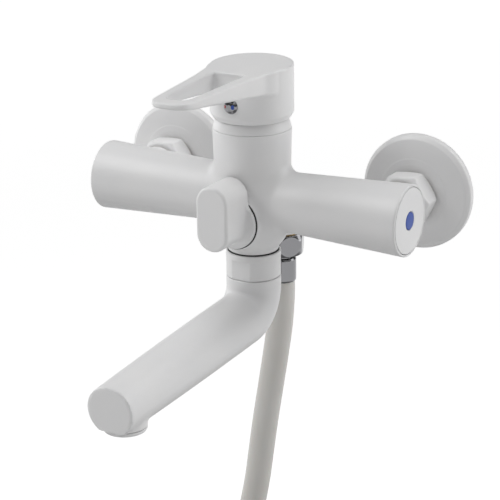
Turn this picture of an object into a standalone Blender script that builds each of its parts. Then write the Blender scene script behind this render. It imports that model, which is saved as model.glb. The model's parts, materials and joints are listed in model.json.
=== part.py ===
"""Wall mounted bath and shower mixer with a swivel spout, a diverter knob and a coiled shower hose.

Run with: blender --background --python part.py
The finished wall is the plane Y = 0, the faucet stands out towards -Y, and +Z is up. The origin is midway
between the two inlets. Every size below is in millimetres, and new_object turns it into metres.
"""

import math

import bmesh
import bpy
from mathutils import Vector

MM = 0.001
AXIS = {
    "X": (Vector((0, 1, 0)), Vector((0, 0, 1)), Vector((1, 0, 0))),
    "Y": (Vector((0, 0, 1)), Vector((1, 0, 0)), Vector((0, 1, 0))),
    "Z": (Vector((1, 0, 0)), Vector((0, 1, 0)), Vector((0, 0, 1))),
}

# Driving dimensions
GAP = 0.3  # between pieces that touch
INLET_HALF = 75.0  # half of the 150 mm between the inlets
BODY_Y = -50.0  # the horizontal tube and the barrel share this distance from the wall
TUBE_HALF = 92.4
TUBE_END_R = 19.0
TUBE_MID_R = 16.0
TUBE_MID_X = 20.0
END_CAP_R = 17.4
WATERWAY_R = 11.0

BARREL_TOP_Z = 38.6
BARREL_TOP_R = 21.1
BARREL_WAIST_R = 20.3
BARREL_BOTTOM_Z = -29.0
BARREL_BOTTOM_R = 13.6

CAVITY_R = 17.9
CAVITY_FLOOR_Z = 5.0
CAVITY_THREAD_R = 18.9
CAVITY_THREAD_Z = 30.0
LEVER_PIVOT_Z = 30.0

CAP_R = 22.3
CAP_RIM_R = 20.4
CAP_RIM_Z = 44.3
LEVER_TOP_Z = 72.9  # height of the lever's top face over the barrel axis
LEVER_TOP_SLOPE = 0.036  # that face falls this much per millimetre towards the tip
SCREW_Z = 54.3

DIVERTER_Z = -8.7
DIVERTER_FACE_Y = -71.0  # front face of the body's boss for the diverter
DIVERTER_BOSS_R = 15.0
KNOB_FRONT_Y = -93.6
KNOB_CLEARANCE = 0.8  # between the knob's back and the boss
GRIP_WIDTH = 18.7
GRIP_HEIGHT = 35.3
GRIP_LIFT = 7.4  # the grip's middle stands this far over the diverter's axis

SPOUT_NUT_R = 14.8
SPOUT_NUT_TOP_Z = -29.9
SPOUT_NUT_BOTTOM_Z = -43.6
ELBOW_RADIUS = 16.0
ARM_CORNER_Z = -64.6  # where the arm's axis meets the swivel axis
ARM_SLOPE = 0.046
ARM_END_Y = -191.5
SPOUT_NECK_R = 14.9
SPOUT_TIP_R = 13.2
SPOUT_GROOVES = (-34.0, -26.4)  # the middles of the spigot's O-ring grooves
AERATOR_Y = -178.2
AERATOR_R = 11.2
AERATOR_BOTTOM_Z = -84.9

SHOWER_Y = -18.5  # axis of the shower outlet, behind the barrel
LOBE_R = 12.5
LOBE_BOTTOM_Z = -26.0
HOSE_R = 7.4
HOSE_NUT_FLATS = 24.0
HOSE_START_Z = -57.3

COIL_RADIUS = 86.0  # at the middle of a turn
COIL_CENTRE = Vector((-4.0, -31.0, -342.0))
COIL_TURNS_WIDE = 3
HOSE_PITCH = 15.0

FLANGE_R = 31.6
FLANGE_LIFT = 0.9
NUT_CORNER_R = 15.7
WALL_THREAD_R = 10.4
WALL_THREAD_DEPTH = 20.0
ECCENTRIC_OFFSET = 8.0

LARGE = 28  # sides of the body
ROUND = 24  # sides of a large turned piece
MEDIUM = 14
SMALL = 8
MANIFOLD_PIECES = {"mixer_body"}  # the exact solver leaves a crack in this many cuts
DRILL_PHASE = 0.11  # keeps a cutter's corners off the seams of the piece that it cuts


# Materials


def material(name, colour, roughness, metallic=0.0):
    made = bpy.data.materials.new(name)
    made.use_nodes = True
    shader = made.node_tree.nodes["Principled BSDF"]
    shader.inputs["Base Color"].default_value = (*colour, 1)
    shader.inputs["Roughness"].default_value = roughness
    shader.inputs["Metallic"].default_value = metallic
    return made


# Mesh helpers


def clear_scene():
    for old in list(bpy.data.objects):
        bpy.data.objects.remove(old, do_unlink=True)


def new_object(name, points, faces, finish, at=(0, 0, 0)):
    """One closed mesh object from points in millimetres round its own origin."""
    mesh = bpy.data.meshes.new(name)
    mesh.from_pydata([Vector(point) * MM for point in points], [], faces)
    form = bmesh.new()
    form.from_mesh(mesh)
    bmesh.ops.recalc_face_normals(form, faces=form.faces)
    form.to_mesh(mesh)
    form.free()
    mesh.shade_smooth()
    mesh.set_sharp_from_angle(angle=math.radians(35))
    mesh.materials.append(finish)
    made = bpy.data.objects.new(name, mesh)
    made.location = Vector(at) * MM
    bpy.context.scene.collection.objects.link(made)
    return made


def skin(name, rings, finish, at=(0, 0, 0), closed=False):
    """Joins rings of points with quads.

    A ring of one point is a pole, and closed joins the last ring to the first.
    """
    points = []
    starts = []
    for ring in rings:
        starts.append(len(points))
        points.extend(ring)
    faces = []
    pairs = list(zip(range(len(rings)), range(1, len(rings))))
    if closed:
        pairs.append((len(rings) - 1, 0))
    for a, b in pairs:
        count = max(len(rings[a]), len(rings[b]))
        for i in range(count):
            j = (i + 1) % count
            if len(rings[a]) == 1:
                faces.append((starts[a], starts[b] + i, starts[b] + j))
            elif len(rings[b]) == 1:
                faces.append((starts[a] + i, starts[b], starts[a] + j))
            else:
                faces.append((starts[a] + i, starts[b] + i, starts[b] + j, starts[a] + j))
    if not closed:
        for index in (0, len(rings) - 1):
            if len(rings[index]) > 1:
                faces.append(tuple(range(starts[index], starts[index] + len(rings[index]))))
    return new_object(name, points, faces, finish, at)


def circle(radius, along, axis="Z", sides=ROUND, phase=0.0):
    if radius == 0:
        return [AXIS[axis][2] * along]
    u, v, w = AXIS[axis]
    turns = [2 * math.pi * i / sides + phase for i in range(sides)]
    return [u * (radius * math.cos(t)) + v * (radius * math.sin(t)) + w * along for t in turns]


def turned(name, profile, finish, axis="Z", at=(0, 0, 0), sides=ROUND, bored=False, phase=0.0):
    """A turned solid from (radius, height) points. A bored one has its profile closed round the hole."""
    rings = [circle(r, h, axis, sides, phase) for r, h in profile]
    return skin(name, rings, finish, at, closed=bored)


def tube(name, outer, inner, low, high, finish, axis="Z", at=(0, 0, 0), sides=MEDIUM, edge=0.3):
    """A plain ring with small outer chamfers."""
    profile = [
        (inner, low),
        (outer - edge, low),
        (outer, low + edge),
        (outer, high - edge),
        (outer - edge, high),
        (inner, high),
    ]
    return turned(name, profile, finish, axis, at, sides, bored=True)


def arc(centre, radii, start, end, count):
    """Points along an ellipse's arc, in degrees from the first direction."""
    found = []
    for i in range(count + 1):
        angle = math.radians(start + (end - start) * i / count)
        found.append((centre[0] + radii[0] * math.cos(angle), centre[1] + radii[1] * math.sin(angle)))
    return found


def box(name, low, high, finish, at=(0, 0, 0)):
    corners = [(x, y, z) for z in (low[2], high[2]) for x, y in (
        (low[0], low[1]), (high[0], low[1]), (high[0], high[1]), (low[0], high[1])
    )]
    faces = [(0, 1, 2, 3), (4, 5, 6, 7), (0, 1, 5, 4), (1, 2, 6, 5), (2, 3, 7, 6), (3, 0, 4, 7)]
    return new_object(name, corners, faces, finish, at)


def helper(made):
    """Keeps a cutter or a joined shape out of the finished object."""
    made.hide_render = True
    made.display_type = "WIRE"
    return made


def combine(target, operation, other):
    step = target.modifiers.new(other.name, "BOOLEAN")
    step.operation = operation
    step.solver = "MANIFOLD" if target.name in MANIFOLD_PIECES else "EXACT"
    step.object = helper(other)


def drill(target, radius, low, high, axis, at, sides=MEDIUM):
    """Cuts a round hole from low to high along the axis through the point at."""
    name = f"drill_{target.name}_{len(target.modifiers)}"
    profile = [(0, high), (radius, high), (radius, low), (0, low)]
    cutter = turned(name, profile, CUTTER, axis, at, sides, phase=DRILL_PHASE)
    combine(target, "DIFFERENCE", cutter)


def hex_nut(name, corner, bore_profile, low, high, finish, axis, at, phase=0.0, chamfer=1.6):
    """A hexagon with turned end chamfers, bored with a stepped hole."""
    ends = [circle(corner, height, axis, 6, phase) for height in (low, high)]
    blank = skin(name, ends, finish, at)
    flats = corner * math.cos(math.pi / 6)
    rounding = [
        (0, low - GAP),
        (flats - 0.2, low - GAP),
        (corner + 0.2, low + chamfer),
        (corner + 0.2, high - chamfer),
        (flats - 0.2, high + GAP),
        (0, high + GAP),
    ]
    combine(blank, "INTERSECT", turned(f"{name}_chamfer", rounding, finish, axis, at, MEDIUM))
    for radius, start, end in bore_profile:
        drill(blank, radius, start, end, axis, at)
    return blank


def pivot(name, at):
    made = bpy.data.objects.new(name, None)
    made.location = Vector(at) * MM
    bpy.context.scene.collection.objects.link(made)
    return made


def hang(empty, pieces):
    """Parents the pieces to the empty on their joint's axis, leaving them where they are."""
    for piece in pieces:
        piece.parent = empty
        piece.location = piece.location - empty.location


# Fixed pieces


def mixer_body(finish):
    half = TUBE_HALF
    lip = 0.6
    profile = [(0, -half), (TUBE_END_R - lip, -half), (TUBE_END_R, -half + lip), (TUBE_MID_R, -TUBE_MID_X)]
    profile += [(r, -x) for r, x in reversed(profile)]
    body = turned("mixer_body", profile, finish, "X", (0, BODY_Y, 0), LARGE)

    bowl = arc((4.0, -11.0), (BARREL_WAIST_R - 4.3, 20.0), -52, 0, 5)
    barrel = [(0, BARREL_BOTTOM_Z), (BARREL_BOTTOM_R, BARREL_BOTTOM_Z)] + bowl
    barrel += [(BARREL_WAIST_R, 16.6), (BARREL_TOP_R, BARREL_TOP_Z - 0.4), (BARREL_TOP_R - 0.4, BARREL_TOP_Z)]
    barrel += [(0, BARREL_TOP_Z)]
    combine(body, "UNION", turned("barrel", barrel, finish, "Z", (0, BODY_Y, 0), LARGE))

    radius = DIVERTER_BOSS_R
    boss = [(0, 20), (radius + 1.2, 20), (radius, 0.5), (radius - 0.5, 0), (0, 0)]
    at_diverter = (0, DIVERTER_FACE_Y, DIVERTER_Z)
    combine(body, "UNION", turned("diverter_boss", boss, finish, "Y", at_diverter, MEDIUM))

    neck = [(0, 0), (LOBE_R - 1, 0), (LOBE_R - 1, BODY_Y - SHOWER_Y), (0, BODY_Y - SHOWER_Y)]
    combine(body, "UNION", turned("outlet_neck", neck, finish, "Y", (0, SHOWER_Y, -13.5), MEDIUM))
    dome = [(0, LOBE_BOTTOM_Z), (LOBE_R, LOBE_BOTTOM_Z)]
    dome += arc((0, -13.5), (LOBE_R, 11.5), 0, 90, 4)[:-1] + [(0, -2.0)]
    combine(body, "UNION", turned("outlet_lobe", dome, finish, "Z", (0, SHOWER_Y, 0), MEDIUM))

    for side in (-1, 1):
        at = (side * INLET_HALF, BODY_Y, 0)
        inlet = [(0, 24.8), (11.3, 24.8), (11.8, 24.3), (11.8, 4), (0, 4)]
        combine(body, "UNION", turned(f"inlet_boss_{side}", inlet, finish, "Y", at, MEDIUM))

    axis_point = (0, BODY_Y, 0)
    drill(body, CAVITY_R, CAVITY_FLOOR_Z, BARREL_TOP_Z + 2, "Z", axis_point, ROUND)
    drill(body, CAVITY_THREAD_R, CAVITY_THREAD_Z, BARREL_TOP_Z + 2, "Z", axis_point, ROUND)
    for side in (-1, 1):
        ends = sorted((side * (half + 2), side * (half - 2.8)))
        drill(body, END_CAP_R + GAP, *ends, "X", axis_point, ROUND)
        ends = sorted((side * (half + 2), side * 26.0))
        drill(body, WATERWAY_R, *ends, "X", axis_point)
        ends = sorted((side * 30.0, side * 9.2))
        drill(body, 3.6, *ends, "X", axis_point, SMALL)
        drill(body, 2.6, 0, CAVITY_FLOOR_Z + 2, "Z", (side * 9.8, BODY_Y, 0), SMALL)
        drill(body, 9.8, 0, 30, "Y", (side * INLET_HALF, BODY_Y, 0))
    drill(body, 2.6, DIVERTER_Z, CAVITY_FLOOR_Z + 2, "Z", (0, BODY_Y - 9.8, 0), SMALL)
    drill(body, 10.6, -2, 10, "Y", at_diverter)
    drill(body, 7.6, -1, 29, "Y", at_diverter)
    drill(body, 8.6, BARREL_BOTTOM_Z - 2, DIVERTER_Z, "Z", axis_point)
    drill(body, 11.5, BARREL_BOTTOM_Z - 2, -20.1, "Z", axis_point)
    drill(body, 5.2, 24, SHOWER_Y - DIVERTER_FACE_Y, "Y", at_diverter, SMALL)
    drill(body, 8.9, LOBE_BOTTOM_Z - 2, -13.5, "Z", (0, SHOWER_Y, 0))
    drill(body, 4.8, -15, DIVERTER_Z, "Z", (0, SHOWER_Y, 0), SMALL)
    return body


def end_cap(side, cap_finish, dot_finish):
    name = "right" if side > 0 else "left"
    dot_name = "index_dot_cold" if side > 0 else "index_dot_hot"
    face = TUBE_HALF + 0.1
    profile = [
        (0, face - 8),
        (WATERWAY_R - GAP, face - 8),
        (WATERWAY_R - GAP, face - 2.5),
        (END_CAP_R, face - 2.5),
        (END_CAP_R, face - 0.4),
        (END_CAP_R - 0.4, face),
        (5.0, face),
        (5.0, face - 1.2),
        (0, face - 1.2),
    ]
    dot = [(0, face - 0.9), (4.65, face - 0.9), (4.65, face), (4.35, face + 0.2), (0, face + 0.2)]
    at = (0, BODY_Y, 0)
    turned(f"end_cap_{name}", [(r, side * h) for r, h in profile], cap_finish, "X", at, MEDIUM)
    turned(dot_name, [(r, side * h) for r, h in dot], dot_finish, "X", at, MEDIUM)


def wall_connection(side, white, brass, rubber):
    """Everything between the wall's pipe and the body's inlet, on one side."""
    name = "right" if side > 0 else "left"
    at = (side * INLET_HALF, 0, 0)
    rim = arc((FLANGE_R - 2.6, -3.2), (2.6, 2.8), 0, -80, 3)
    flange = [(FLANGE_R - 1.8, 0), (FLANGE_R - 0.4, 0), (FLANGE_R, -0.4)] + rim
    flange += [(19.4, -8.3), (18.6, -9.1), (16.6, -9.5), (12.6, -9.5)]
    flange += [(12.6, -7.6), (17.6, -7.0), (FLANGE_R - 2.4, -4.0)]
    at_flange = (at[0], 0, FLANGE_LIFT)
    turned(f"wall_flange_{name}", flange, white, "Y", at_flange, ROUND, bored=True)

    bore = [(11.4, -17.6, -9), (9.9, -26, -17)]
    phase = math.pi / 6 + math.radians(60 + 3)
    hex_nut(f"union_nut_{name}", NUT_CORNER_R, bore, -23.8, -10.4, white, "Y", at, phase, 2.0)

    collar = [(7.2, -44), (9.5, -44), (9.5, -17.3), (11.0, -17.3), (11.0, -15.2), (7.2, -15.2)]
    turned(f"inlet_collar_{name}", collar, brass, "Y", at, MEDIUM, bored=True)
    tube(f"inlet_washer_{name}", 10.8, 7.3, -14.9, -13.3, rubber, "Y", at, MEDIUM, 0.2)

    thread = [(0, -13.0), (10.4, -13.0), (11.1, -12.3), (11.1, -1.0), (0, -1.0)]
    eccentric = turned(f"eccentric_{name}", thread, brass, "Y", at, MEDIUM)
    at_pipe = (at[0], 0, ECCENTRIC_OFFSET)
    tail = [(0, -4.0), (WALL_THREAD_R, -4.0), (WALL_THREAD_R, WALL_THREAD_DEPTH - 0.7)]
    tail += [(WALL_THREAD_R - 0.7, WALL_THREAD_DEPTH), (0, WALL_THREAD_DEPTH)]
    combine(eccentric, "UNION", turned(f"pipe_thread_{name}", tail, brass, "Y", at_pipe, MEDIUM))
    drill(eccentric, 7.4, -15, -2.2, "Y", at)
    drill(eccentric, 7.4, -2.8, WALL_THREAD_DEPTH + 2, "Y", at_pipe)


def cartridge(plastic, ceramic, rubber, brass, white):
    """The parts of the ceramic disc cartridge that stay still, its nut and the trim ring."""
    at = (0, BODY_Y, 0)
    shell = [(0, 7.0), (17.5, 7.0), (17.5, 29.7), (9.6, 29.7)]
    shell += [(9.6, 27.3), (14.2, 27.3), (14.2, 9.5), (0, 9.5)]
    shell = turned("cartridge_housing", shell, plastic, "Z", at, MEDIUM)
    fixed = [(0, 12.8), (13.8, 12.8), (13.8, 9.8), (0, 9.8)]
    fixed = turned("cartridge_fixed_disc", fixed, ceramic, "Z", at, MEDIUM)
    seal = turned("cartridge_seal", [(0, 6.7), (14.5, 6.7), (14.5, 5.3), (0, 5.3)], rubber, "Z", at, MEDIUM)
    for target, low, high in ((shell, 6, 10), (fixed, 9, 14), (seal, 4, 8)):
        for x, y in ((-9.8, 0), (9.8, 0), (0, -9.8)):
            drill(target, 2.4, low, high, "Z", (x, BODY_Y + y, 0), 10)
    nut = [(10.2, 30.3), (18.5, 30.3), (18.5, 37.9), (12.4, 37.9), (12.4, 33.5), (10.2, 33.5)]
    turned("cartridge_nut", nut, brass, "Z", at, MEDIUM, bored=True)

    low = BARREL_TOP_Z + GAP
    dome = arc((0, 36.3), (20.8, 20.8), math.degrees(math.asin((low + 0.3 - 36.3) / 20.8)), 26, 4)
    ring = [(17.2, low), (20.4, low)] + dome + [(17.2, 45.4), (16.4, 43.6), (16.4, 40.5)]
    turned("trim_ring", ring, white, "Z", at, ROUND, bored=True)


def diverter_bonnet(brass):
    at = (0, DIVERTER_FACE_Y, DIVERTER_Z)
    ring = [(4.0, 8.5), (10.3, 8.5), (10.3, 1.2), (4.0, 1.2)]
    turned("diverter_bonnet", ring, brass, "Y", at, MEDIUM, bored=True)


def spout_mounting(white, brass):
    at = (0, BODY_Y, 0)
    nipple = [(9.2, -38.0), (12.4, -38.0), (12.4, -29.6), (11.2, -29.3), (11.2, -20.4), (9.2, -20.4)]
    turned("spout_nipple", nipple, brass, "Z", at, MEDIUM, bored=True)
    nut = [
        (12.7, SPOUT_NUT_TOP_Z),
        (SPOUT_NUT_R - 0.4, SPOUT_NUT_TOP_Z),
        (SPOUT_NUT_R, SPOUT_NUT_TOP_Z - 0.4),
        (SPOUT_NUT_R, SPOUT_NUT_BOTTOM_Z),
        (9.3, SPOUT_NUT_BOTTOM_Z),
        (9.3, -41.0),
        (12.7, -41.0),
    ]
    ring = turned("spout_nut", nut, white, "Z", at, ROUND, bored=True)
    flat = 13.75
    for side in (-1, 1):
        ends = sorted((side * flat, side * 20))
        cutter = box(f"spout_nut_flat_{side}", (-9, ends[0], -46), (9, ends[1], -33.0), white, at)
        combine(ring, "DIFFERENCE", cutter)


def shower_outlet(brass, chrome, plastic, rubber):
    at = (0, SHOWER_Y, 0)
    nipple = [(7.0, -35.4), (9.7, -35.4), (10.3, -34.8), (10.3, -26.3)]
    nipple += [(8.6, -26.3), (8.6, -15.5), (7.0, -15.5)]
    turned("shower_nipple", nipple, brass, "Z", at, MEDIUM, bored=True)
    valve = [(0, -17.5), (3.2, -17.5), (6.7, -21.5), (6.7, -30), (3.4, -30), (3.4, -24), (0, -24)]
    turned("check_valve", valve, plastic, "Z", at, SMALL)
    tube("hose_washer", 9.8, 5.4, -37.9, -35.7, rubber, "Z", at, MEDIUM, 0.2)
    bore = [(10.6, -40.2, -28), (6.7, -44, -39)]
    corner = HOSE_NUT_FLATS / 2 / math.cos(math.pi / 6)
    phase = math.radians(-90 + 52 + 30)
    hex_nut("hose_nut", corner, bore, -42.4, -30.0, chrome, "Z", at, phase, 2.4)
    ferrule = [
        (4.6, -38.2),
        (9.6, -38.2),
        (9.6, -39.9),
        (6.4, -39.9),
        (6.4, -42.7),
        (7.7, -42.7),
        (8.15, -43.3),
        (8.15, HOSE_START_Z + 0.9),
        (7.9, HOSE_START_Z + GAP),
        (4.6, HOSE_START_Z + GAP),
    ]
    turned("hose_ferrule", ferrule, chrome, "Z", at, MEDIUM, bored=True)


# The hose: a free stretch, a coil of the length that is put away, and a tail with the handset's nut

HOSE_ROUTE = [
    (0.0, -18.5, -57.3),
    (0.0, -18.5, -66.0),
    (-0.8, -19.2, -82.0),
    (-2.4, -21.2, -100.0),
    (-4.4, -24.0, -120.0),
    (-6.4, -26.8, -140.0),
    (-8.2, -29.2, -160.0),
    (-10.0, -31.8, -180.0),
    (-13.4, -36.0, -202.0),
    (-21.4, -41.2, -225.0),
    (-35.2, -45.2, -246.0),
]


def smooth_points(route, spacing):
    """Evenly spaced points on a Catmull-Rom curve through the route."""
    knots = [Vector(p) for p in route]
    knots = [2 * knots[0] - knots[1]] + knots + [2 * knots[-1] - knots[-2]]
    dense = []
    for a, b, c, d in zip(knots, knots[1:], knots[2:], knots[3:]):
        for i in range(20):
            t = i / 20
            dense.append(0.5 * (2 * b + (c - a) * t + (2 * a - 5 * b + 4 * c - d) * t**2
                                + (3 * b - a - 3 * c + d) * t**3))
    dense.append(knots[-2])
    lengths = [0.0]
    for a, b in zip(dense, dense[1:]):
        lengths.append(lengths[-1] + (b - a).length)
    count = round(lengths[-1] / spacing)
    found = []
    at = 0
    for i in range(count + 1):
        wanted = lengths[-1] * i / count
        while at < len(lengths) - 2 and lengths[at + 1] < wanted:
            at += 1
        share = (wanted - lengths[at]) / (lengths[at + 1] - lengths[at])
        found.append(dense[at].lerp(dense[at + 1], share))
    return found


def hose_tube(name, route, finish):
    curve = bpy.data.curves.new(name, "CURVE")
    curve.dimensions = "3D"
    curve.bevel_depth = HOSE_R * MM
    curve.bevel_resolution = 3
    curve.use_fill_caps = True
    curve.materials.append(finish)
    points = smooth_points(route, 2.5 * HOSE_R)
    spline = curve.splines.new("POLY")
    spline.points.add(len(points) - 1)
    for target, point in zip(spline.points, points):
        target.co = (*(point * MM), 1)
    made = bpy.data.objects.new(name, curve)
    bpy.context.scene.collection.objects.link(made)
    return made


def hose(pvc, chrome, rubber, strap):
    hose_tube("hose", HOSE_ROUTE, pvc)
    half_width = HOSE_PITCH * (COIL_TURNS_WIDE - 1) / 2
    section = arc((COIL_RADIUS, half_width), (HOSE_R, HOSE_R), 0, 180, 4)
    section += arc((COIL_RADIUS, -half_width), (HOSE_R, HOSE_R), 180, 360, 4)
    turned("hose_coil", section, pvc, "Y", COIL_CENTRE, ROUND, bored=True)

    angle = math.radians(150)
    inner = (HOSE_R + 1.2, half_width + HOSE_R + GAP)
    outer = (inner[0] + 1.4, inner[1] + 1.4)
    u = Vector((math.cos(angle), 0, math.sin(angle)))
    v = Vector((0, 1, 0))
    w = u.cross(v)
    centre = COIL_CENTRE + u * COIL_RADIUS
    corner = 5  # rounding of the strap's loop
    loops = []
    for (reach, width), along in ((inner, -5.5), (outer, -5.5), (outer, 5.5), (inner, 5.5)):
        a, b = reach - corner, width - corner
        corners = []
        for start, middle in ((0, (a, b)), (90, (-a, b)), (180, (-a, -b)), (270, (a, -b))):
            corners += arc(middle, (corner, corner), start, start + 90, 3)
        loops.append([u * p + v * q + w * along for p, q in corners])
    skin("hose_tie", loops, strap, centre, closed=True)

    left = COIL_CENTRE.x - COIL_RADIUS
    tail_y = COIL_CENTRE.y + half_width
    tail_top = COIL_CENTRE.z - 54.0
    tail_bottom = tail_top - 30.0
    tail = [(left, tail_y, z) for z in (tail_top, (tail_top + tail_bottom) / 2, tail_bottom)]
    hose_tube("hose_tail", tail, pvc)
    at = (left, tail_y, tail_bottom)
    ferrule = [(4.6, -GAP), (7.9, -GAP), (8.15, -0.9), (8.15, -14.0), (7.7, -14.6)]
    ferrule += [(6.4, -14.6), (6.4, -17.4)]
    ferrule += [(9.6, -17.4), (9.6, -19.1), (4.6, -19.1)]
    turned("hose_end_ferrule", ferrule, chrome, "Z", at, MEDIUM, bored=True)
    bore = [(6.7, -18, -14), (10.6, -30, -17.1)]
    corner = HOSE_NUT_FLATS / 2 / math.cos(math.pi / 6)
    hex_nut("hose_end_nut", corner, bore, -27.3, -14.9, chrome, "Z", at, 0.0, 2.4)
    tube("hose_end_washer", 9.8, 5.4, -21.6, -19.4, rubber, "Z", at, MEDIUM, 0.2)


# Moving pieces


def lever_top(y):
    return LEVER_TOP_Z + LEVER_TOP_SLOPE * (y - BODY_Y)


def lever_underside(y):
    """The underside rises from the cap to the tip."""
    return 61.6 + 0.087 * max(0.0, (BODY_Y - 15.0) - y)


def mirrored(half):
    """A closed outline from its right half, which starts and ends on the plane X = 0."""
    return half + [(-x, y) for x, y in reversed(half[1:-1])]


def lever(white):
    grip_outside = [(0, -133.0), (5.6, -132.6), (9.2, -130.8), (11.3, -127.0), (12.4, -119.0), (13.8, -101.0)]
    grip_outside += [(15.4, -84.0), (18.2, -66.0), (17.0, -56.0), (0, -54.0)]
    loop_hole = [(0, -126.2), (3.4, -125.7), (5.6, -123.4), (6.6, -118.0), (7.2, -110.0), (8.0, -98.0)]
    loop_hole += [(8.9, -84.0), (9.3, -75.4), (7.6, -72.8), (0, -72.6)]
    outside = mirrored(grip_outside)
    inside = mirrored(loop_hole)
    loops = []
    for outline, height in (
        (outside, lever_underside),
        (outside, lever_top),
        (inside, lever_top),
        (inside, lever_underside),
    ):
        loops.append([(x, y - BODY_Y, height(y)) for x, y in outline])
    handle = skin("lever_handle", loops, white, (0, BODY_Y, 0), closed=True)

    rings = [circle(CAP_RIM_R, CAP_RIM_Z), circle(CAP_R, CAP_RIM_Z + 3.0)]
    for inset, drop in ((0.0, 1.4), (0.4, 0.45), (1.4, 0.0)):
        ring = circle(CAP_R - inset, 0)
        rings.append([(p.x, p.y, lever_top(p.y + BODY_Y) - drop) for p in ring])
    cap = skin("lever", rings, white, (0, BODY_Y, 0))
    combine(cap, "UNION", handle)
    room = [(0, 40.0), (19.7, 40.0), (19.7, 61.0), (18.7, 62.0), (7.6, 62.0), (7.6, 48.0), (0, 48.0)]
    combine(cap, "DIFFERENCE", turned("lever_room", room, white, "Z", (0, BODY_Y, 0), ROUND))
    combine(cap, "DIFFERENCE", box("stem_socket", (-4.4, -4.4, 46), (4.4, 4.4, 63.0), white, (0, BODY_Y, 0)))
    drill(cap, 4.3, -26, -17, "Y", (0, BODY_Y, SCREW_Z))
    drill(cap, 2.3, -9, -3, "Y", (0, BODY_Y, SCREW_Z), SMALL)
    return cap


def lever_fittings(steel, chrome):
    at = (0, BODY_Y, SCREW_Z)
    screw = turned("lever_screw", [(0, -4.7), (2.0, -4.7), (2.0, -14.0), (0, -14.0)], steel, "Y", at, SMALL)
    dome = [(0, -19.2), (4.0, -19.2), (4.0, -22.2)] + arc((0, -22.2), (4.0, -1.7), 20, 90, 4)
    dome[-1] = (0, -23.9)
    button = turned("temperature_button", dome, chrome, "Y", at, MEDIUM)
    return [screw, button]


def cartridge_moving(plastic, ceramic, steel, brass):
    at = (0, BODY_Y, 0)
    at_pin = (0, BODY_Y, LEVER_PIVOT_Z)
    carrier = [(0, 16.5), (13.7, 16.5), (13.7, 27.0), (9.2, 27.0), (9.2, 36.0), (0, 36.0)]
    carrier = turned("cartridge_carrier", carrier, plastic, "Z", at, MEDIUM)
    combine(carrier, "DIFFERENCE", box("stem_slot", (-4.4, -7.6, 15), (4.4, 7.6, 38), plastic, at))
    drill(carrier, 1.8, -12, 12, "X", at_pin, 10)

    pin = [(0, -8.4), (1.5, -8.4), (1.5, 8.4), (0, 8.4)]
    pin = turned("pivot_pin", pin, steel, "X", at_pin, 10)

    disc = [(0, 14.3), (3.6, 14.3), (3.6, 16.1), (9.8, 16.1), (9.8, 13.1), (0, 13.1)]
    disc = turned("cartridge_moving_disc", disc, ceramic, "Z", at, MEDIUM)

    stem = box("cartridge_stem", (-4.0, -4.0, 24.0), (4.0, 4.0, 62.4), brass, at)
    tip = [(0, 14.7), (2.4, 14.9), (3.0, 16.0), (3.0, 26.0), (0, 26.0)]
    combine(stem, "UNION", turned("stem_tip", tip, brass, "Z", at, SMALL))
    drill(stem, 1.8, -12, 12, "X", at_pin, 10)
    return carrier, pin, disc, stem


def grip_ring(along, width, height, lift, sides=12):
    """A pill outline across the diverter's axis, its long side up."""
    radius = width / 2
    reach = height / 2 - radius
    top = arc((0, lift + reach), (radius, radius), 0, 180, sides)
    bottom = arc((0, lift - reach), (radius, radius), 180, 360, sides)
    return [(x, along, z) for x, z in top + bottom]


def diverter_moving(white, brass, rubber, steel):
    at = (0, 0, DIVERTER_Z)
    back = DIVERTER_FACE_Y - KNOB_CLEARANCE
    rings = [
        grip_ring(back, GRIP_WIDTH, GRIP_HEIGHT, GRIP_LIFT),
        grip_ring(KNOB_FRONT_Y + 1.3, GRIP_WIDTH, GRIP_HEIGHT, GRIP_LIFT),
        grip_ring(KNOB_FRONT_Y + 0.4, GRIP_WIDTH - 0.8, GRIP_HEIGHT - 0.8, GRIP_LIFT),
        grip_ring(KNOB_FRONT_Y, GRIP_WIDTH - 2.6, GRIP_HEIGHT - 2.6, GRIP_LIFT),
    ]
    knob = skin("diverter_knob", rings, white, at)
    # A little proud of the grip's back, so that the two solids share no plane
    proud = back + 0.05
    base = [(0, proud), (14.2, proud), (14.2, back - 1.5), (11.6, back - 3.4), (0, back - 3.4)]
    combine(knob, "UNION", turned("knob_base", base, white, "Y", at, MEDIUM))
    drill(knob, 3.3, -90, back + 1, "Y", at, SMALL)

    at_face = (0, DIVERTER_FACE_Y, DIVERTER_Z)
    stem_end = -KNOB_CLEARANCE - 14
    stem = [(0, stem_end), (3.0, stem_end), (3.0, 10.2), (0, 10.2)]
    stem = turned("diverter_stem", stem, brass, "Y", at_face, SMALL)
    screw_top = stem_end - GAP
    screw = [(0, screw_top), (2.6, screw_top), (2.6, screw_top - 3.2), (0, screw_top - 3.2)]
    screw = turned("knob_screw", screw, steel, "Y", at_face, SMALL)
    cam = [(0, 10.5), (7.2, 10.5), (7.2, 27), (0, 27)]
    cam = turned("diverter_cam", cam, brass, "Y", at_face, MEDIUM)
    port = box("cam_port", (-3.4, 14, -9), (3.4, 29, 2.4), brass, at_face)
    combine(cam, "DIFFERENCE", port)
    seal = tube("diverter_o_ring", 7.4, 3.3, 8.8, 10.1, rubber, "Y", at_face, SMALL, 0.3)
    return [knob, stem, screw, cam, seal]


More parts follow.
